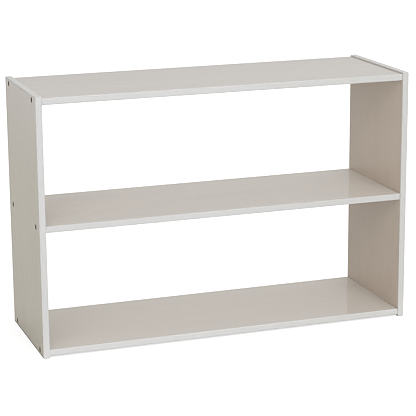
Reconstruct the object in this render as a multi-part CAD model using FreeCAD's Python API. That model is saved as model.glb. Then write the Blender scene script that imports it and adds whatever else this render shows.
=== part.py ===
import FreeCAD, Part
import math
import os

from FreeCAD import Vector

# Open shelf unit: two side panels carry three bolted shelves, with no back, so it is used from both sides.
# X runs across the front from left to right, Y from front to back, Z up from the floor.
# The origin is on the floor, in the middle of the unit.

# Overall size, in millimetres
overall_width = 914.0
overall_depth = 305.0
overall_height = 610.0

# Boards
side_thickness = 15.0
shelf_thickness = 15.0
top_lip = 4.0  # side panels stand above the top shelf
floor_gap = 4.0  # bottom shelf clears the floor
lower_opening = 278.5  # clear height between the bottom and middle shelves
shelf_setback = 2.0  # shelf edges behind the side panels' edges, front and back

# Edge bands, glued round the boards
band_thickness = 3.0
band_heel = 0.4  # least flat left between a band's rounding and its board
edge_radius = 2.0

# Countersunk connector bolts with a hexagon socket
bolt_diameter = 6.0
bolt_length = 50.0  # top of the head to the tip
bolt_tip_chamfer = 0.8
head_diameter = 13.0
head_rim = 0.4  # straight rim above the head's cone
head_sink = 0.3  # top of the head below the panel's outer face
socket_width = 4.0  # across the flats
socket_depth = 2.4
bolt_edge_distance = 37.0  # from the side panels' front and back edges

# Barrel nuts, pushed into the shelves from below
nut_diameter = 10.0
nut_length = 10.0
nut_chamfer = 0.5
nut_slot_width = 1.2
nut_slot_depth = 1.0
bolt_past_nut = 2.0  # bolt tip beyond the far side of the nut

# Fluted wood dowels
dowel_diameter = 8.0
dowel_length = 30.0
dowel_in_panel = 10.0
dowel_from_bolt = 32.0  # between a bolt's axis and its dowel's axis
dowel_chamfer = 1.0
flute_count = 12
flute_radius = 0.5

# Clearances, on the radius for round fits
bolt_clearance = 0.5
head_clearance = 0.1
thread_clearance = 0.05
nut_clearance = 0.1
dowel_clearance = 0.1
hole_end_clearance = 0.6  # drilled past the end of a nut or dowel
bore_end_clearance = 3.0  # drilled past the tip of a bolt
drill_overrun = 2.0  # cutters start this far outside the face they enter

# Places that follow from the sizes
panel_outside = -overall_width / 2
panel_inside = panel_outside + side_thickness
panel_front = -overall_depth / 2
shelf_front = panel_front + shelf_setback
head_top = panel_outside + head_sink
bolt_tip = head_top + bolt_length
nut_axis = bolt_tip - bolt_past_nut - nut_diameter / 2
bolt_rows = [panel_front + bolt_edge_distance, -panel_front - bolt_edge_distance]
dowel_rows = [bolt_rows[0] + dowel_from_bolt, bolt_rows[1] - dowel_from_bolt]
band_rounding = min(edge_radius, band_thickness - band_heel)
shelf_bottoms = {
    "top": overall_height - top_lip - shelf_thickness,
    "middle": floor_gap + shelf_thickness + lower_opening,
    "bottom": floor_gap,
}
along_x = Vector(1, 0, 0)
along_z = Vector(0, 0, 1)


def block(low, high):
    """Box between two corners."""
    size = high - low
    return Part.makeBox(size.x, size.y, size.z, low)


def one_solid(shape):
    """The only solid in a cut or trimmed shape."""
    solids = shape.removeSplitter().Solids
    if len(solids) != 1:
        raise ValueError("expected one solid, found %d" % len(solids))
    return solids[0]


def turned(profile, start, axis):
    """Solid of revolution from (distance, radius) points, along an axis from its start."""
    corners = [Vector(distance, radius, 0) for distance, radius in profile]
    face = Part.Face(Part.makePolygon(corners + corners[:1]))
    solid = face.revolve(Vector(0, 0, 0), along_x, 360)
    solid.Placement = FreeCAD.Placement(start, FreeCAD.Rotation(along_x, axis))
    return solid


def mirrored(shape):
    """The same piece on the other side of the unit's middle plane."""
    return shape.mirror(Vector(0, 0, 0), along_x)


def middle_height(shelf):
    """Height of a shelf's mid-thickness, where its bolts and dowels lie."""
    return shelf_bottoms[shelf] + shelf_thickness / 2


def bolt(row, height):
    """Connector bolt of the left side panel, from its head towards the shelf."""
    head_radius = head_diameter / 2
    radius = bolt_diameter / 2
    cone_end = head_rim + head_radius - radius
    profile = [
        (0, 0),
        (0, head_radius),
        (head_rim, head_radius),
        (cone_end, radius),
        (bolt_length - bolt_tip_chamfer, radius),
        (bolt_length, radius - bolt_tip_chamfer),
        (bolt_length, 0),
    ]
    start = Vector(head_top, row, height)
    return one_solid(turned(profile, start, along_x).cut(socket(start)))


def socket(start):
    """Hexagonal prism that cuts the key socket into a bolt's head."""
    corner_radius = socket_width / math.sqrt(3)
    mouth = start - along_x * drill_overrun
    corners = []
    for corner in range(7):
        angle = math.radians(60 * corner)
        corners.append(mouth + Vector(0, math.cos(angle), math.sin(angle)) * corner_radius)
    return Part.Face(Part.makePolygon(corners)).extrude(along_x * (drill_overrun + socket_depth))


def bolt_hole(row, height):
    """Countersunk hole through the left side panel."""
    hole_radius = bolt_diameter / 2 + bolt_clearance
    sink_radius = head_diameter / 2 + head_clearance
    sink_end = head_sink + head_rim
    profile = [
        (-drill_overrun, 0),
        (-drill_overrun, sink_radius),
        (sink_end, sink_radius),
        (sink_end + sink_radius - hole_radius, hole_radius),
        (side_thickness + drill_overrun, hole_radius),
        (side_thickness + drill_overrun, 0),
    ]
    return turned(profile, Vector(panel_outside, row, height), along_x)


def bolt_bore(row, height):
    """Bore in a shelf's left end for the bolt's shank."""
    length = drill_overrun + bolt_tip + bore_end_clearance - panel_inside
    start = Vector(panel_inside - drill_overrun, row, height)
    return Part.makeCylinder(bolt_diameter / 2 + bolt_clearance, length, start, along_x)


def barrel_nut(row, height):
    """Cross-drilled nut that the bolt's thread goes through, with a slot to turn it in line."""
    radius = nut_diameter / 2
    foot = Vector(nut_axis, row, height - nut_length / 2)
    profile = [
        (0, 0),
        (0, radius - nut_chamfer),
        (nut_chamfer, radius),
        (nut_length - nut_chamfer, radius),
        (nut_length, radius - nut_chamfer),
        (nut_length, 0),
    ]
    thread_start = Vector(nut_axis - nut_diameter, row, height)
    thread = Part.makeCylinder(bolt_diameter / 2 + thread_clearance, 2 * nut_diameter, thread_start, along_x)
    slot_reach = Vector(nut_diameter, nut_slot_width / 2, 0)
    slot = block(foot - slot_reach - along_z * drill_overrun, foot + slot_reach + along_z * nut_slot_depth)
    return one_solid(turned(profile, foot, along_z).cut([thread, slot]))


def nut_hole(row, height):
    """Blind hole from a shelf's underside, stopping short of its top face."""
    foot = height - shelf_thickness / 2 - drill_overrun
    top = height + nut_length / 2 + hole_end_clearance
    return Part.makeCylinder(nut_diameter / 2 + nut_clearance, top - foot, Vector(nut_axis, row, foot))


def dowel(row, height):
    """Fluted dowel between the left side panel and a shelf."""
    radius = dowel_diameter / 2
    start = Vector(panel_inside - dowel_in_panel, row, height)
    profile = [
        (0, 0),
        (0, radius - dowel_chamfer),
        (dowel_chamfer, radius),
        (dowel_length - dowel_chamfer, radius),
        (dowel_length, radius - dowel_chamfer),
        (dowel_length, 0),
    ]
    flutes = []
    for flute in range(flute_count):
        angle = 2 * math.pi * flute / flute_count
        edge = start + Vector(0, math.cos(angle), math.sin(angle)) * radius
        flutes.append(Part.makeCylinder(flute_radius, dowel_length, edge, along_x))
    return one_solid(turned(profile, start, along_x).cut(flutes))


def dowel_hole_in_panel(row, height):
    """Blind hole from the left side panel's inner face."""
    depth = dowel_in_panel + hole_end_clearance
    start = Vector(panel_inside - depth, row, height)
    return Part.makeCylinder(dowel_diameter / 2 + dowel_clearance, depth + drill_overrun, start, along_x)


def dowel_hole_in_shelf(row, height):
    """Blind hole in a shelf's left end."""
    depth = dowel_length - dowel_in_panel + hole_end_clearance
    start = Vector(panel_inside - drill_overrun, row, height)
    return Part.makeCylinder(dowel_diameter / 2 + dowel_clearance, drill_overrun + depth, start, along_x)


def left_side_pieces():
    """Left side panel and its four edge bands, parted from one board rounded on every edge."""
    low = Vector(panel_outside, panel_front, 0)
    high = Vector(panel_inside, -panel_front, overall_height)
    blank = block(low, high)
    blank = blank.makeFillet(band_rounding, blank.Edges)
    board_low = low + Vector(0, band_thickness, band_thickness)
    board_high = high - Vector(0, band_thickness, band_thickness)
    holes = []
    for shelf in shelf_bottoms:
        height = middle_height(shelf)
        holes += [bolt_hole(row, height) for row in bolt_rows]
        holes += [dowel_hole_in_panel(row, height) for row in dowel_rows]
    spans = {
        "front_edge_band": (low, Vector(high.x, board_low.y, high.z)),
        "back_edge_band": (Vector(low.x, board_high.y, low.z), high),
        "bottom_edge_band": (Vector(low.x, board_low.y, low.z), Vector(high.x, board_high.y, board_low.z)),
        "top_edge_band": (Vector(low.x, board_low.y, board_high.z), Vector(high.x, board_high.y, high.z)),
    }
    pieces = {name: one_solid(blank.common(block(*span))) for name, span in spans.items()}
    pieces["side_panel"] = one_solid(block(board_low, board_high).cut(holes))
    return pieces


def shelf_pieces(shelf):
    """A shelf and its front and back edge bands, parted from one board rounded on its long edges."""
    low = Vector(panel_inside, shelf_front, shelf_bottoms[shelf])
    high = Vector(-panel_inside, -shelf_front, shelf_bottoms[shelf] + shelf_thickness)
    blank = block(low, high)
    long_edges = [edge for edge in blank.Edges if abs(edge.tangentAt(edge.FirstParameter).x) > 0.5]
    blank = blank.makeFillet(band_rounding, long_edges)
    board_low = low + Vector(0, band_thickness, 0)
    board_high = high - Vector(0, band_thickness, 0)
    height = middle_height(shelf)
    left_holes = [dowel_hole_in_shelf(row, height) for row in dowel_rows]
    for row in bolt_rows:
        left_holes += [bolt_bore(row, height), nut_hole(row, height)]
    holes = left_holes + [mirrored(hole) for hole in left_holes]
    return {
        "": one_solid(block(board_low, board_high).cut(holes)),
        "_front_edge_band": one_solid(blank.common(block(low, Vector(high.x, board_low.y, high.z)))),
        "_back_edge_band": one_solid(blank.common(block(Vector(low.x, board_high.y, low.z), high))),
    }


def fastener_groups(shelf):
    """The bolts, barrel nuts and dowels at a shelf's left end, one group of each."""
    height = middle_height(shelf)
    return {
        "bolts": Part.makeCompound([bolt(row, height) for row in bolt_rows]),
        "barrel_nuts": Part.makeCompound([barrel_nut(row, height) for row in bolt_rows]),
        "dowels": Part.makeCompound([dowel(row, height) for row in dowel_rows]),
    }


def all_nodes():
    """Every node of the unit by name."""
    nodes = {}
    for name, piece in left_side_pieces().items():
        nodes["left_" + name] = piece
        nodes["right_" + name] = mirrored(piece)
    for shelf in shelf_bottoms:
        for name, piece in shelf_pieces(shelf).items():
            nodes[shelf + "_shelf" + name] = piece
        for name, group in fastener_groups(shelf).items():
            nodes[shelf + "_shelf_left_" + name] = group
            nodes[shelf + "_shelf_right_" + name] = mirrored(group)
    return nodes


os.makedirs("parts", exist_ok=True)
for node, shape in all_nodes().items():
    shape.exportStep("parts/%s.step" % node)
    print("%-34s solids %d  valid %s  volume %.1f" % (node, len(shape.Solids), shape.isValid(), shape.Volume))
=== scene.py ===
import math

import bmesh
import bpy
from mathutils import Matrix, Vector


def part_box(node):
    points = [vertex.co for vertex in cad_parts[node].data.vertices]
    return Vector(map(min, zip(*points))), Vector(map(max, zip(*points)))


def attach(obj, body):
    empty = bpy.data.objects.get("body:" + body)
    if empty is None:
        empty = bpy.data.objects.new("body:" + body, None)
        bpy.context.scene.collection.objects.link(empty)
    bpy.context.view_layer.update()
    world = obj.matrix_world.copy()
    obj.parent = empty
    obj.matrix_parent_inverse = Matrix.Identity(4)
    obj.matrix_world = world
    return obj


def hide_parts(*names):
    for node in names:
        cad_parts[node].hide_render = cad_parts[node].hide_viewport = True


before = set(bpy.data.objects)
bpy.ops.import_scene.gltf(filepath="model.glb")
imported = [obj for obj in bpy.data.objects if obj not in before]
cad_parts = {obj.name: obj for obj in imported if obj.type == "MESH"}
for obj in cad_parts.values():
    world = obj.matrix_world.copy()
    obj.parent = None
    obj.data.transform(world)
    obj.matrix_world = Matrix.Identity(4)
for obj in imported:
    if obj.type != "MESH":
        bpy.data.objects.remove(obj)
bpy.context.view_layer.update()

millimetre = 0.001
shelfBoards = ("top", "middle", "bottom")
sideBoards = ("left", "right")
print("frame loaded:", len(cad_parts), "nodes")


# Shader wiring: sums on a Wire add Math nodes, every other node comes from its add method.
class Wire:
    def __init__(self, tree, socket=None):
        self.tree = tree
        self.socket = socket

    def add(self, kind, settings, inputs, output=0):
        node = self.tree.nodes.new(kind)
        for name, value in settings.items():
            setattr(node, name, value)
        for name, value in inputs.items():
            if isinstance(value, Wire):
                self.tree.links.new(value.socket, node.inputs[name])
            else:
                node.inputs[name].default_value = value
        return Wire(self.tree, node.outputs[output]) if len(node.outputs) else None

    def maths(self, operation, first, second):
        return self.add("ShaderNodeMath", {"operation": operation}, {0: first, 1: second})

    def __add__(self, other):
        return self.maths("ADD", self, other)

    __radd__ = __add__

    def __sub__(self, other):
        return self.maths("SUBTRACT", self, other)

    def __rsub__(self, other):
        return self.maths("SUBTRACT", other, self)

    def __mul__(self, other):
        return self.maths("MULTIPLY", self, other)

    __rmul__ = __mul__


def startFinish(name):
    finish = bpy.data.materials.new(name)
    finish.use_nodes = True
    finish.node_tree.nodes.clear()
    return finish, Wire(finish.node_tree)


def showFinish(wires, inputs):
    shader = wires.add("ShaderNodeBsdfPrincipled", {}, inputs)
    wires.add("ShaderNodeOutputMaterial", {}, {"Surface": shader})


def objectPlace(wires):
    return wires.add("ShaderNodeTexCoord", {}, {}, "Object")


def stretched(wires, perMetre):
    return wires.add("ShaderNodeMapping", {}, {"Vector": objectPlace(wires), "Scale": perMetre})


def noise(wires, perMetre, detail, roughness=0.5, distortion=0.0):
    inputs = {"Vector": stretched(wires, perMetre), "Scale": 1.0, "Detail": detail}
    inputs.update({"Roughness": roughness, "Distortion": distortion})
    return wires.add("ShaderNodeTexNoise", {}, inputs)


def placeAlong(wires, axis):
    return wires.add("ShaderNodeSeparateXYZ", {}, {"Vector": objectPlace(wires)}, axis)


def between(wires, value, low, high):  # 0 at low, 1 at high, either way up
    return wires.add("ShaderNodeMapRange", {}, {"Value": value, "From Min": low, "From Max": high})


def tint(wires, factor, first, second, blend="MIX"):
    inputs = {0: factor, 6: first, 7: second}  # by number, since the node's socket names repeat
    return wires.add("ShaderNodeMix", {"data_type": "RGBA", "blend_type": blend}, inputs, 2)


def raised(wires, height, strength, distance):
    return wires.add("ShaderNodeBump", {}, {"Height": height, "Strength": strength, "Distance": distance})


# Washed grey laminate of the boards: long soft bands, fine streaks and sparse short pores along the grain.
laminate = {
    "shelf": {"light": (0.715, 0.670, 0.621), "dark": (0.671, 0.627, 0.576), "pore": (0.556, 0.500, 0.447)},
    # the side panels get their own tones of the one laminate, as lit and shaded copies: the right one is
    # warmer, for the warm light bounced inside the compartments
    "left": {"light": (0.641, 0.586, 0.471), "dark": (0.584, 0.530, 0.421), "pore": (0.473, 0.416, 0.323)},
    "right": {"light": (0.673, 0.581, 0.488), "dark": (0.618, 0.528, 0.439), "pore": (0.500, 0.413, 0.333)},
    "sheets": {"top": 0.988, "middle": 1.036, "bottom": 0.972},  # painted light and shade: the middle shelf is toned lighter and the top and bottom ones darker, for how much light reaches each
    # pale: the tone of the painted light on a side panel's upper part
    "pale": (0.723, 0.661, 0.599),
    "faded": {"left": 0.87},  # painted light: share of the pale tone at the top of a side panel, for the light falling more on its upper part
    "fadedHeight": (300.0 * millimetre, 600.0 * millimetre),
    "bands": {"along": 1.1, "across": 13.0, "detail": 4.0, "roughness": 0.55, "distortion": 0.7},  # per metre
    "streaks": {"along": 4.0, "across": 210.0, "detail": 3.0, "roughness": 0.6, "distortion": 0.2},
    "pores": {"along": 22.0, "across": 900.0, "detail": 1.0},
    "wash": {"along": 3.0, "across": 3.0, "detail": 2.0},
    "shares": {"bands": 0.55, "streaks": 0.3, "wash": 0.15},
    "grainRange": (0.3, 0.7),  # of the summed shares, from the light tone to the dark one
    "poreRange": (0.64, 0.72),
    "poreShare": 0.45,
    "roughness": 0.06,
    "roughnessSpread": 0.03,
    "gloss": 1.45,  # refractive index of the clear top layer
    "grainRelief": 0.25,
    "grainDepth": 0.08 * millimetre,
}


def grainNoise(wires, axis, along, across, **settings):
    perMetre = [across] * 3
    perMetre["XYZ".index(axis)] = along
    return noise(wires, perMetre, **settings)


def opaque(colour):
    return (*colour, 1.0)


def laminateFinish(board, axis, tones):
    finish, wires = startFinish(board + "Laminate")
    # painted light and shade: a shelf's tones are scaled by how much light reaches it
    shelfShade = laminate["sheets"].get(board, 1.0)
    tones = {name: opaque([shelfShade * part for part in colour]) for name, colour in tones.items()}
    bands = grainNoise(wires, axis, **laminate["bands"])
    streaks = grainNoise(wires, axis, **laminate["streaks"])
    pores = between(wires, grainNoise(wires, axis, **laminate["pores"]), *laminate["poreRange"])
    wash = grainNoise(wires, axis, **laminate["wash"])
    shares = laminate["shares"]
    grain = shares["bands"] * bands + shares["streaks"] * streaks + shares["wash"] * wash
    colour = tint(wires, between(wires, grain, *laminate["grainRange"]), tones["light"], tones["dark"])
    colour = tint(wires, laminate["poreShare"] * pores, colour, tones["pore"])
    # painted light: the left panel is painted paler towards its top
    if board in laminate["faded"]:
        rise = between(wires, placeAlong(wires, "Z"), *laminate["fadedHeight"])
        faded = laminate["faded"][board] * rise * rise
        colour = tint(wires, faded, colour, opaque(laminate["pale"]))
    spread = laminate["roughnessSpread"]
    roughness = laminate["roughness"] + spread * streaks + spread * wash
    relief = raised(wires, streaks - pores, laminate["grainRelief"], laminate["grainDepth"])
    look = {"Base Color": colour, "Roughness": roughness, "IOR": laminate["gloss"], "Normal": relief}
    showFinish(wires, look)
    return finish


# Pressed chips of the boards' core, which the drilled holes lay bare.
chipCore = {
    "pale": (0.560, 0.420, 0.270, 1.0),
    "brown": (0.300, 0.200, 0.115, 1.0),
    "chipsPerMetre": (420.0, 420.0, 420.0),
    "dust": {"perMetre": (2400.0, 2400.0, 2400.0), "detail": 2.0},
    "chipShare": 0.7,
    "dustShare": 0.3,
    "roughness": 0.80,
    "roughnessSpread": 0.15,
    "chipRelief": 0.6,
    "chipDepth": 0.3 * millimetre,
}


def coreFinish(name):
    finish, wires = startFinish(name)
    place = stretched(wires, chipCore["chipsPerMetre"])
    chips = wires.add("ShaderNodeTexVoronoi", {}, {"Vector": place, "Scale": 1.0})
    dust = noise(wires, **chipCore["dust"])
    mottle = chipCore["chipShare"] * chips + chipCore["dustShare"] * dust
    colour = tint(wires, mottle, chipCore["pale"], chipCore["brown"])
    roughness = chipCore["roughness"] + chipCore["roughnessSpread"] * dust
    relief = raised(wires, dust - chips, chipCore["chipRelief"], chipCore["chipDepth"])
    showFinish(wires, {"Base Color": colour, "Roughness": roughness, "Normal": relief})
    return finish


# Pale grey edge band: satin plastic with a faint speckle and a fine pebbled skin. Painted light makes it
# paler towards the floor, painted shade darkens it towards the right, and a painted contact shadow runs along
# the floor. The panels' top edges are toned darker and warmer.
bandPlastic = {
    "pale": (0.702, 0.700, 0.690, 1.0),
    "shade": (0.656, 0.654, 0.644, 1.0),
    "cloud": {"perMetre": (9.0, 9.0, 9.0), "detail": 3.0},
    "speckle": {"perMetre": (700.0, 700.0, 700.0), "detail": 2.0},
    "cloudShare": 0.6,
    "speckleShare": 0.4,
    # the tone of the painted light near the floor
    "fresh": (0.785, 0.783, 0.772, 1.0),
    "freshStretches": [  # painted light: strips are paler towards the floor, for the light thrown up off it
        {"heights": (500.0 * millimetre, 80.0 * millimetre), "share": 0.3},
        {"heights": (80.0 * millimetre, 10.0 * millimetre), "share": 0.7},
    ],
    "yellowed": (0.947, 0.940, 0.923, 1.0),  # painted shade: times the other tones, darker towards the right, where less light falls
    "yellowedReach": (-50.0 * millimetre, 350.0 * millimetre),  # across, from the unit's middle
    # painted contact shadow: near black at the foot of the bands, where they meet the floor
    "scuffed": (0.130, 0.120, 0.105, 1.0),
    "scuffedFoot": (4.2 * millimetre, 2.4 * millimetre),  # heights, from no painted shadow to full painted shadow
    # a painted shadow line 1 mm tall at the foot of the other bands
    "cleanFoot": (1.0 * millimetre, 0.0),
    "smear": {"perMetre": (40.0, 40.0, 400.0), "detail": 3.0},  # frays the painted shadow's upper edge
    "smearMiddle": 0.5,
    "smearReach": 1.6 * millimetre,
    "handled": (0.640, 0.628, 0.606, 1.0),
    "handledHeight": (606.5 * millimetre, 609.0 * millimetre),  # the panels' tops, toned darker and warmer
    "roughness": 0.34,
    "cloudRoughness": 0.08,
    "scuffedRoughness": 0.2,
    "pebbleRelief": 0.2,
    "pebbleDepth": 0.05 * millimetre,
}


def bandFinish(name, foot):
    finish, wires = startFinish(name)
    cloud = noise(wires, **bandPlastic["cloud"])
    speckle = noise(wires, **bandPlastic["speckle"])
    mottle = bandPlastic["cloudShare"] * cloud + bandPlastic["speckleShare"] * speckle
    colour = tint(wires, mottle, bandPlastic["pale"], bandPlastic["shade"])
    height = placeAlong(wires, "Z")
    # painted light: the bands grow paler towards the floor
    fresh = 0.0
    for stretch in bandPlastic["freshStretches"]:
        fresh = fresh + stretch["share"] * between(wires, height, *stretch["heights"])
    colour = tint(wires, fresh, colour, bandPlastic["fresh"])
    # painted shade: the bands darken towards the right
    yellowed = between(wires, placeAlong(wires, "X"), *bandPlastic["yellowedReach"])
    colour = tint(wires, yellowed, colour, bandPlastic["yellowed"], "MULTIPLY")
    # painted contact shadow at the foot, with a frayed upper edge
    smear = noise(wires, **bandPlastic["smear"]) - bandPlastic["smearMiddle"]
    paintedShadow = between(wires, height + bandPlastic["smearReach"] * smear, *foot)
    colour = tint(wires, paintedShadow, colour, bandPlastic["scuffed"])
    # the panels' top edges are toned darker and warmer
    handled = between(wires, height, *bandPlastic["handledHeight"])
    colour = tint(wires, handled, colour, bandPlastic["handled"])
    roughness = bandPlastic["roughness"] + bandPlastic["cloudRoughness"] * cloud
    roughness = roughness + bandPlastic["scuffedRoughness"] * paintedShadow
    relief = raised(wires, speckle, bandPlastic["pebbleRelief"], bandPlastic["pebbleDepth"])
    showFinish(wires, {"Base Color": colour, "Roughness": roughness, "Normal": relief})
    return finish


# Dark bronze coating of the bolts, rubbed a little brighter in places.
boltCoat = {
    "dark": (0.110, 0.084, 0.065, 1.0),
    "rubbed": (0.168, 0.127, 0.095, 1.0),
    "rubs": {"perMetre": (420.0, 420.0, 420.0), "detail": 4.0},
    "rubRange": (0.5, 0.75),
    "roughness": 0.6,
    "rubbedRoughness": 0.12,
    "metal": 0.3,
}


def boltFinish(name):
    finish, wires = startFinish(name)
    rub = between(wires, noise(wires, **boltCoat["rubs"]), *boltCoat["rubRange"])
    colour = tint(wires, rub, boltCoat["dark"], boltCoat["rubbed"])
    roughness = boltCoat["roughness"] + boltCoat["rubbedRoughness"] * rub
    showFinish(wires, {"Base Color": colour, "Roughness": roughness, "Metallic": boltCoat["metal"]})
    return finish


# Bright zinc of the barrel nuts, with a turned grain round their axis.
nutPlating = {
    "bright": (0.66, 0.66, 0.64, 1.0),
    "dull": (0.56, 0.56, 0.55, 1.0),
    "turning": {"perMetre": (300.0, 300.0, 4000.0), "detail": 2.0},
    "roughness": 0.26,
    "roughnessSpread": 0.14,
    "metal": 1.0,
}


def nutFinish(name):
    finish, wires = startFinish(name)
    turning = noise(wires, **nutPlating["turning"])
    colour = tint(wires, turning, nutPlating["bright"], nutPlating["dull"])
    roughness = nutPlating["roughness"] + nutPlating["roughnessSpread"] * turning
    showFinish(wires, {"Base Color": colour, "Roughness": roughness, "Metallic": nutPlating["metal"]})
    return finish


# Bare beech of the dowels: warm and flecked along their length.
dowelWood = {
    "pale": (0.66, 0.48, 0.31, 1.0),
    "fleck": (0.50, 0.34, 0.20, 1.0),
    "flecks": {"perMetre": (60.0, 900.0, 900.0), "detail": 3.0},
    "roughness": 0.62,
    "roughnessSpread": 0.1,
    "fleckRelief": 0.3,
    "fleckDepth": 0.1 * millimetre,
}


def dowelFinish(name):
    finish, wires = startFinish(name)
    flecks = noise(wires, **dowelWood["flecks"])
    colour = tint(wires, flecks, dowelWood["pale"], dowelWood["fleck"])
    roughness = dowelWood["roughness"] + dowelWood["roughnessSpread"] * flecks
    relief = raised(wires, flecks, dowelWood["fleckRelief"], dowelWood["fleckDepth"])
    showFinish(wires, {"Base Color": colour, "Roughness": roughness, "Normal": relief})
    return finish


boardLaminate = {}
for board in shelfBoards:
    boardLaminate[board] = laminateFinish(board, "X", laminate["shelf"])
for board in sideBoards:
    boardLaminate[board] = laminateFinish(board, "Z", laminate[board])
core = coreFinish("chipCore")
# both band finishes paint a contact shadow at their foot: a 1 mm line on most bands, a wider one on the
# bottom bands
edgeBand = bandFinish("edgeBand", bandPlastic["cleanFoot"])
footBand = bandFinish("footBand", bandPlastic["scuffedFoot"])
bronze = boltFinish("bronzeBolt")
zinc = nutFinish("zincNut")
beech = dowelFinish("beechDowel")
print("finishes made")

sharpAbove = math.radians(35.0)  # between faces, for shading
squareAbove = 1.0  # radians between faces, above which a corner counts as square


def camelCase(node):
    first, *rest = node.split("_")
    return first + "".join(word.capitalize() for word in rest)


def addPiece(node, bm, finishes):
    bmesh.ops.recalc_face_normals(bm, faces=bm.faces[:])
    mesh = bpy.data.meshes.new(camelCase(node))
    bm.to_mesh(mesh)
    bm.free()
    for finish in finishes:
        mesh.materials.append(finish)
    mesh.polygons.foreach_set("use_smooth", [True] * len(mesh.polygons))
    mesh.set_sharp_from_angle(angle=sharpAbove)
    piece = bpy.data.objects.new(camelCase(node), mesh)
    bpy.context.scene.collection.objects.link(piece)
    piece.modifiers.new("evenFaces", "WEIGHTED_NORMAL").keep_sharp = True
    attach(piece, "root")
    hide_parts(node)


def blockMesh(low, high):
    bm = bmesh.new()
    bmesh.ops.create_cube(bm, size=1.0)
    bmesh.ops.scale(bm, vec=high - low, verts=bm.verts[:])
    bmesh.ops.translate(bm, vec=(low + high) / 2, verts=bm.verts[:])
    return bm


def rounded(bm, edges, offset, segments):
    bmesh.ops.bevel(
        bm, geom=edges, offset=offset, segments=segments, profile=0.5, affect="EDGES", material=-1
    )


def easeCorners(bm, offset):  # small flat on every corner that is still square
    corners = [edge for edge in bm.edges if edge.calc_face_angle(0.0) > squareAbove]
    rounded(bm, corners, offset, 1)


def onlyVerts(parts):
    return [part for part in parts if isinstance(part, bmesh.types.BMVert)]


# The shelves stand a hair off the side panels, which shows as a fine dark line.
hairGap = {"left": 0.1 * millimetre, "right": 0.6 * millimetre}


def shelfBox(node):
    low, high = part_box(node)
    low.x += hairGap["left"]
    high.x -= hairGap["right"]
    return low, high


# Edge bands: glued strips with rounded outer edges and a hairline seam against the boards.
bands = {
    "uprightRounding": 1.8 * millimetre,  # front and back strips
    "levelRounding": 1.0 * millimetre,  # top and bottom strips
    "roundingSteps": 6,
    "seam": 0.15 * millimetre,
    "shortEdge": 50.0 * millimetre,  # edges below this are a strip's butted ends
}
outwards = {
    "front": Vector((0, -1, 0)),
    "back": Vector((0, 1, 0)),
    "top": Vector((0, 0, 1)),
    "bottom": Vector((0, 0, -1)),
}


def makeBand(node):
    onShelf = "shelf" in node
    low, high = shelfBox(node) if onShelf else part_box(node)
    side = node.split("_")[-3]
    upright = side in ("front", "back")
    bm = blockMesh(low, high)
    middle = outwards[side].dot((low + high) / 2)
    outer = {vert for vert in bm.verts if outwards[side].dot(vert.co) > middle}
    if upright and not onShelf:  # a panel's upright strips turn its corners
        edges = [edge for edge in bm.edges if set(edge.verts) & outer]
    else:
        edges = [edge for edge in bm.edges if set(edge.verts) <= outer]
        edges = [edge for edge in edges if edge.calc_length() > bands["shortEdge"]]
    rounding = bands["uprightRounding"] if upright else bands["levelRounding"]
    rounded(bm, edges, rounding, bands["roundingSteps"])
    easeCorners(bm, bands["seam"])
    addPiece(node, bm, [footBand if side == "bottom" else edgeBand])


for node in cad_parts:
    if node.endswith("edge_band"):
        makeBand(node)
print("edge bands made")

# Boards: laminate outside, chip core in the holes for the bolts, nuts and dowels.
boards = {
    "seam": 0.15 * millimetre,
    "holeSides": 48,
    "boltRow": 115.5 * millimetre,  # from the unit's middle, front and back
    "dowelRow": 83.5 * millimetre,
    "boltCell": 7.6 * millimetre,  # half of the square that a hole is cut in
    "dowelCell": 5.5 * millimetre,
    "cellSides": 4,
    "inset": 0.3 * millimetre,
}
boltHole = {  # through a side panel, from outside
    "sinkRadius": 6.6 * millimetre,
    "rim": 0.7 * millimetre,
    "radius": 3.5 * millimetre,
}
dowelHole = {"radius": 4.1 * millimetre, "inPanel": 10.6 * millimetre, "inShelf": 20.6 * millimetre}
nutHole = {
    "radius": 5.1 * millimetre,
    "fromEnd": 28.3 * millimetre,  # from a shelf's end to the nut's axis
    "depth": 13.1 * millimetre,
    "boreDepth": 22.0 * millimetre,  # the bolt's bore, nearly up to the nut
}


def cutLines(bm, direction, places, reach):
    for place in places:
        for line in (place - reach, place + reach):
            everything = bm.verts[:] + bm.edges[:] + bm.faces[:]
            bmesh.ops.bisect_plane(bm, geom=everything, plane_co=direction * line, plane_no=direction)


def openHole(bm, mouth, radius):  # insets the cell that the hole is cut in, and rounds the inset to a ring
    cell = min(bm.faces, key=lambda face: (face.calc_center_median() - mouth).length)
    cuts = boards["holeSides"] // boards["cellSides"] - 1
    bmesh.ops.bisect_edges(bm, edges=list(cell.edges), cuts=cuts)
    bmesh.ops.inset_individual(bm, faces=[cell], thickness=boards["inset"], use_even_offset=True)
    for vert in cell.verts:
        vert.co = mouth + (vert.co - mouth).normalized() * radius
    hoop = list(cell.edges)
    bmesh.ops.delete(bm, geom=[cell], context="FACES_ONLY")
    return hoop


def deepen(bm, hoop, move, widen=1.0):
    grown = bmesh.ops.extrude_edge_only(bm, edges=hoop)["geom"]
    verts = onlyVerts(grown)
    bmesh.ops.translate(bm, vec=move, verts=verts)
    centre = sum((vert.co for vert in verts), Vector()) / len(verts)
    bmesh.ops.scale(bm, vec=(widen,) * 3, space=Matrix.Translation(-centre), verts=verts)
    for part in grown:
        if isinstance(part, bmesh.types.BMFace):
            part.material_index = 1
    ends = set(verts)
    return [edge for edge in bm.edges if edge.is_boundary and set(edge.verts) <= ends]


def blindHole(bm, mouth, inward, radius, depth):
    hoop = deepen(bm, openHole(bm, mouth, radius), inward * depth)
    bmesh.ops.edgeloop_fill(bm, edges=hoop, mat_nr=1)


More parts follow.
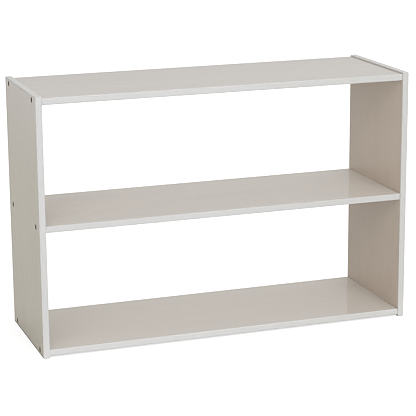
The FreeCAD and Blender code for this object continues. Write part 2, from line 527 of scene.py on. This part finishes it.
def countersunkHole(bm, mouth, inward, thickness):
    sink = openHole(bm, mouth, boltHole["sinkRadius"])
    rim = deepen(bm, sink, inward * boltHole["rim"])
    slope = boltHole["sinkRadius"] - boltHole["radius"]
    neck = deepen(bm, rim, inward * slope, boltHole["radius"] / boltHole["sinkRadius"])
    exitRing = openHole(bm, mouth + inward * thickness, boltHole["radius"])
    for face in bmesh.ops.bridge_loops(bm, edges=neck + exitRing)["faces"]:
        face.material_index = 1


def bothRows(row):
    return (-row, row)


def makeSidePanel(board, heights):
    node = board + "_side_panel"
    low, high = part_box(node)
    inward = Vector((1, 0, 0)) if low.x < 0 else Vector((-1, 0, 0))
    outside, inside = (low.x, high.x) if low.x < 0 else (high.x, low.x)
    bm = blockMesh(low, high)
    easeCorners(bm, boards["seam"])
    cutLines(bm, Vector((0, 1, 0)), bothRows(boards["boltRow"]), boards["boltCell"])
    cutLines(bm, Vector((0, 1, 0)), bothRows(boards["dowelRow"]), boards["dowelCell"])
    cutLines(bm, Vector((0, 0, 1)), heights, boards["boltCell"])
    for height in heights:
        for row in bothRows(boards["boltRow"]):
            countersunkHole(bm, Vector((outside, row, height)), inward, high.x - low.x)
        for row in bothRows(boards["dowelRow"]):
            blindHole(bm, Vector((inside, row, height)), -inward, dowelHole["radius"], dowelHole["inPanel"])
    addPiece(node, bm, [boardLaminate[board], core])


def makeShelf(board):
    node = board + "_shelf"
    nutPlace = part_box(node)[1].x - nutHole["fromEnd"]
    low, high = shelfBox(node)
    height = (low.z + high.z) / 2
    bm = blockMesh(low, high)
    easeCorners(bm, boards["seam"])
    cutLines(bm, Vector((1, 0, 0)), bothRows(nutPlace), boards["boltCell"])
    cutLines(bm, Vector((0, 1, 0)), bothRows(boards["boltRow"]), boards["boltCell"])
    cutLines(bm, Vector((0, 1, 0)), bothRows(boards["dowelRow"]), boards["dowelCell"])
    cutLines(bm, Vector((0, 0, 1)), [height], boards["dowelCell"])
    for end, nut in ((low.x, -nutPlace), (high.x, nutPlace)):
        inward = Vector((-math.copysign(1.0, end), 0, 0))
        for row in bothRows(boards["boltRow"]):
            blindHole(bm, Vector((end, row, height)), inward, boltHole["radius"], nutHole["boreDepth"])
            blindHole(bm, Vector((nut, row, low.z)), Vector((0, 0, 1)), nutHole["radius"], nutHole["depth"])
        for row in bothRows(boards["dowelRow"]):
            blindHole(bm, Vector((end, row, height)), inward, dowelHole["radius"], dowelHole["inShelf"])
    addPiece(node, bm, [boardLaminate[board], core])
    return height


shelfHeights = [makeShelf(board) for board in shelfBoards]
for board in sideBoards:
    makeSidePanel(board, shelfHeights)
print("boards made")

# Countersunk bolts: a turned head and shank with a hexagon key socket.
bolts = {
    "sides": 48,
    "headRadius": 6.5 * millimetre,
    "headRim": 0.4 * millimetre,
    "headEase": 0.12 * millimetre,
    "shankRadius": 3.0 * millimetre,
    "tipChamfer": 0.8 * millimetre,
    "socketFlats": 6,
    "socketWidth": 4.0 * millimetre,  # across the flats
    "socketDepth": 2.4 * millimetre,
    "socketLand": 2.9 * millimetre,  # radius of the ring round the socket
    "socketLead": 0.2 * millimetre,
    "drillPoint": 0.6 * millimetre,  # below the socket's flats
    "drillPointWidth": 0.1,  # share of the socket's width that is left at the point
}


def spunBolt(length):
    coneEnd = bolts["headRim"] + bolts["headRadius"] - bolts["shankRadius"]
    profile = [
        (0.0, bolts["socketLand"]),
        (0.0, bolts["headRadius"] - bolts["headEase"]),
        (bolts["headEase"], bolts["headRadius"]),
        (bolts["headRim"], bolts["headRadius"]),
        (coneEnd, bolts["shankRadius"]),
        (length - bolts["tipChamfer"], bolts["shankRadius"]),
        (length, bolts["shankRadius"] - bolts["tipChamfer"]),
    ]
    bm = bmesh.new()
    verts = [bm.verts.new((along, radius, 0.0)) for along, radius in profile]
    edges = [bm.edges.new(pair) for pair in zip(verts, verts[1:])]
    axis = Vector((1, 0, 0))
    bmesh.ops.spin(
        bm, geom=verts + edges, cent=Vector(), axis=axis, angle=math.tau, steps=bolts["sides"], use_merge=True
    )
    openEdges = [edge for edge in bm.edges if edge.is_boundary]
    land = [edge for edge in openEdges if edge.verts[0].co.x < bolts["headEase"]]
    tip = [edge for edge in openEdges if edge not in land]
    bmesh.ops.edgeloop_fill(bm, edges=tip)
    flats = bolts["socketFlats"]
    corner = bolts["socketWidth"] / 2 / math.cos(math.pi / flats) + bolts["socketLead"]
    facing = Matrix.Rotation(math.radians(90.0), 4, "Y")
    ring = bmesh.ops.create_circle(bm, segments=flats, radius=corner, matrix=facing)["verts"]
    ringEdges = list({edge for vert in ring for edge in vert.link_edges})
    bmesh.ops.bisect_edges(bm, edges=ringEdges, cuts=bolts["sides"] // flats - 1)
    mouth = [edge for edge in bm.edges if edge.is_wire]
    bmesh.ops.bridge_loops(bm, edges=land + mouth)
    lead = deepen(bm, mouth, axis * bolts["socketLead"], 1.0 - bolts["socketLead"] / corner)
    foot = deepen(bm, lead, axis * (bolts["socketDepth"] - bolts["socketLead"]))
    point = deepen(bm, foot, axis * bolts["drillPoint"], bolts["drillPointWidth"])
    bmesh.ops.edgeloop_fill(bm, edges=point)
    for face in bm.faces:
        face.material_index = 0
    return bm


def makeBolts(node):
    low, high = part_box(node)
    bm = spunBolt(high.x - low.x)
    if low.x > 0:
        halfTurn = Matrix.Rotation(math.pi, 3, "Z")
        bmesh.ops.rotate(bm, cent=Vector(), matrix=halfTurn, verts=bm.verts[:])
    head = Vector((low.x if low.x < 0 else high.x, low.y + bolts["headRadius"], (low.z + high.z) / 2))
    bmesh.ops.translate(bm, vec=head, verts=bm.verts[:])
    second = bmesh.ops.duplicate(bm, geom=bm.verts[:] + bm.edges[:] + bm.faces[:])["geom"]
    apart = Vector((0, high.y - low.y - 2 * bolts["headRadius"], 0))
    bmesh.ops.translate(bm, vec=apart, verts=onlyVerts(second))
    addPiece(node, bm, [bronze])


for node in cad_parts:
    if node.endswith("bolts"):
        makeBolts(node)
print("bolts made")

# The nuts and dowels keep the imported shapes.
for node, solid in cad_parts.items():
    for place in solid.material_slots:
        if node.endswith("nuts"):
            place.material = zinc
        elif node.endswith("dowels"):
            place.material = beech
print("nuts and dowels finished")

# Stage: pale floor paper in a light tent with uneven walls, and two soft boxes in front.
white = (1.0, 1.0, 1.0, 1.0)
stage = {
    "floorSize": 60.0,
    "floorRoughness": 0.9,
    "floors": {  # the paper is what the camera sees, the bounce throws light back at the unit
        "paper": {"colour": (0.45, 0.45, 0.45, 1.0), "glow": 0.71, "drop": 0.0, "seen": True},
        "bounce": {"colour": (0.68, 0.68, 0.68, 1.0), "glow": 0.0, "drop": 0.2 * millimetre, "seen": False},
    },
    "walls": {
        "left": {"way": (-1.0, 0.0, 0.0), "low": 0.74, "high": 0.74},
        "right": {"way": (1.0, 0.0, 0.0), "low": 0.45, "high": 0.45},
        "front": {"way": (0.0, -1.0, 0.0), "low": 0.5, "high": 1.5},
        "back": {"way": (0.375, 0.927, 0.0), "low": 0.59, "high": 2.24},
        "above": {"way": (0.0, 0.0, 1.0), "low": 0.93, "high": 0.93},
    },
    "wallRise": (0.30, 0.50),  # sine of the heights between which a wall goes from low to high
    "softBoxes": {
        "key": {"place": (0.6, -3.0, 2.1), "power": 37.1},
        "side": {"place": (-2.2, -2.4, 1.7), "power": 14.5},
    },
    "boxSize": 1.6,
    "boxAim": (0.0, 0.0, 0.3),
}


def makeFloor(name, colour, glow, drop, seen):
    bm = bmesh.new()
    bmesh.ops.create_grid(bm, x_segments=1, y_segments=1, size=stage["floorSize"] / 2)
    bmesh.ops.translate(bm, vec=Vector((0, 0, -drop)), verts=bm.verts[:])
    mesh = bpy.data.meshes.new(name)
    bm.to_mesh(mesh)
    bm.free()
    finish, wires = startFinish(name)
    look = {"Base Color": colour, "Roughness": stage["floorRoughness"], "Specular IOR Level": 0.0}
    look.update({"Emission Color": white, "Emission Strength": glow})
    showFinish(wires, look)
    mesh.materials.append(finish)
    floor = bpy.data.objects.new(name, mesh)
    floor.visible_camera = seen
    floor.visible_diffuse = not seen
    floor.visible_glossy = not seen
    floor.visible_shadow = not seen
    bpy.context.scene.collection.objects.link(floor)


def makeTent():
    world = bpy.data.worlds.new("lightTent")
    world.use_nodes = True
    world.node_tree.nodes.clear()
    wires = Wire(world.node_tree)
    way = wires.add("ShaderNodeTexCoord", {}, {}, "Generated")
    rise = between(wires, wires.add("ShaderNodeSeparateXYZ", {}, {"Vector": way}, "Z"), *stage["wallRise"])
    level = 0.0
    for wall in stage["walls"].values():
        dot = {"operation": "DOT_PRODUCT"}
        facing = wires.add("ShaderNodeVectorMath", dot, {0: way, 1: wall["way"]}, "Value")
        facing = wires.maths("MAXIMUM", facing, 0.0)
        level = level + (wall["low"] + (wall["high"] - wall["low"]) * rise) * facing * facing
    tent = wires.add("ShaderNodeBackground", {}, {"Strength": level})
    wires.add("ShaderNodeOutputWorld", {}, {"Surface": tent})
    bpy.context.scene.world = world


def makeSoftBox(name, place, power):
    lamp = bpy.data.lights.new(name, "AREA")
    lamp.size = stage["boxSize"]
    lamp.energy = power
    softBox = bpy.data.objects.new(name, lamp)
    softBox.location = place
    aim = Vector(stage["boxAim"]) - softBox.location
    softBox.rotation_euler = aim.to_track_quat("-Z", "Y").to_euler()
    softBox.visible_glossy = False  # no hot spots in the glossy boards
    bpy.context.scene.collection.objects.link(softBox)


# Camera, from the left front at about four times the unit's width, looking down a little.
shot = {
    "place": (-1.2580, -3.5876, 1.2380),
    "turn": 19.309,  # to the right of +Y, degrees
    "tilt": 14.127,  # below the horizon
    "roll": -0.440,
    "sensor": 36.0,
    "lens": 139.32,
    "sharpen": 0.22,
    "displayGamma": 2.2,  # the sharpening works on the picture as it is shown
}


def makeCamera():
    data = bpy.data.cameras.new("camera")
    data.sensor_width = shot["sensor"]
    data.lens = shot["lens"]
    camera = bpy.data.objects.new("camera", data)
    turn = Matrix.Rotation(math.radians(-shot["turn"]), 4, "Z")
    tilt = Matrix.Rotation(math.radians(90.0 - shot["tilt"]), 4, "X")
    roll = Matrix.Rotation(math.radians(shot["roll"]), 4, "Z")
    camera.matrix_world = Matrix.Translation(shot["place"]) @ turn @ tilt @ roll
    bpy.context.scene.collection.objects.link(camera)
    bpy.context.scene.camera = camera


def crispPicture():  # the light sharpening that a catalogue picture gets
    scene = bpy.context.scene
    scene.use_nodes = True
    scene.node_tree.nodes.clear()
    wires = Wire(scene.node_tree)
    picture = wires.add("CompositorNodeRLayers", {}, {}, "Image")
    clipped = {0: 0.0, 1: picture, 2: white}  # nothing is mixed in, the node only clips to white
    picture = wires.add("CompositorNodeMixRGB", {"use_clamp": True}, clipped)
    picture = wires.add("CompositorNodeGamma", {}, {"Image": picture, "Gamma": 1.0 / shot["displayGamma"]})
    sharpening = {"Fac": shot["sharpen"], "Image": picture}
    picture = wires.add("CompositorNodeFilter", {"filter_type": "SHARPEN_DIAMOND"}, sharpening)
    picture = wires.add("CompositorNodeGamma", {}, {"Image": picture, "Gamma": shot["displayGamma"]})
    wires.add("CompositorNodeComposite", {}, {"Image": picture})


for name, floor in stage["floors"].items():
    makeFloor(name, **floor)
makeTent()
for name, box in stage["softBoxes"].items():
    makeSoftBox(name, **box)
makeCamera()
crispPicture()
bpy.context.scene.view_settings.view_transform = "Standard"
print("stage and camera set")
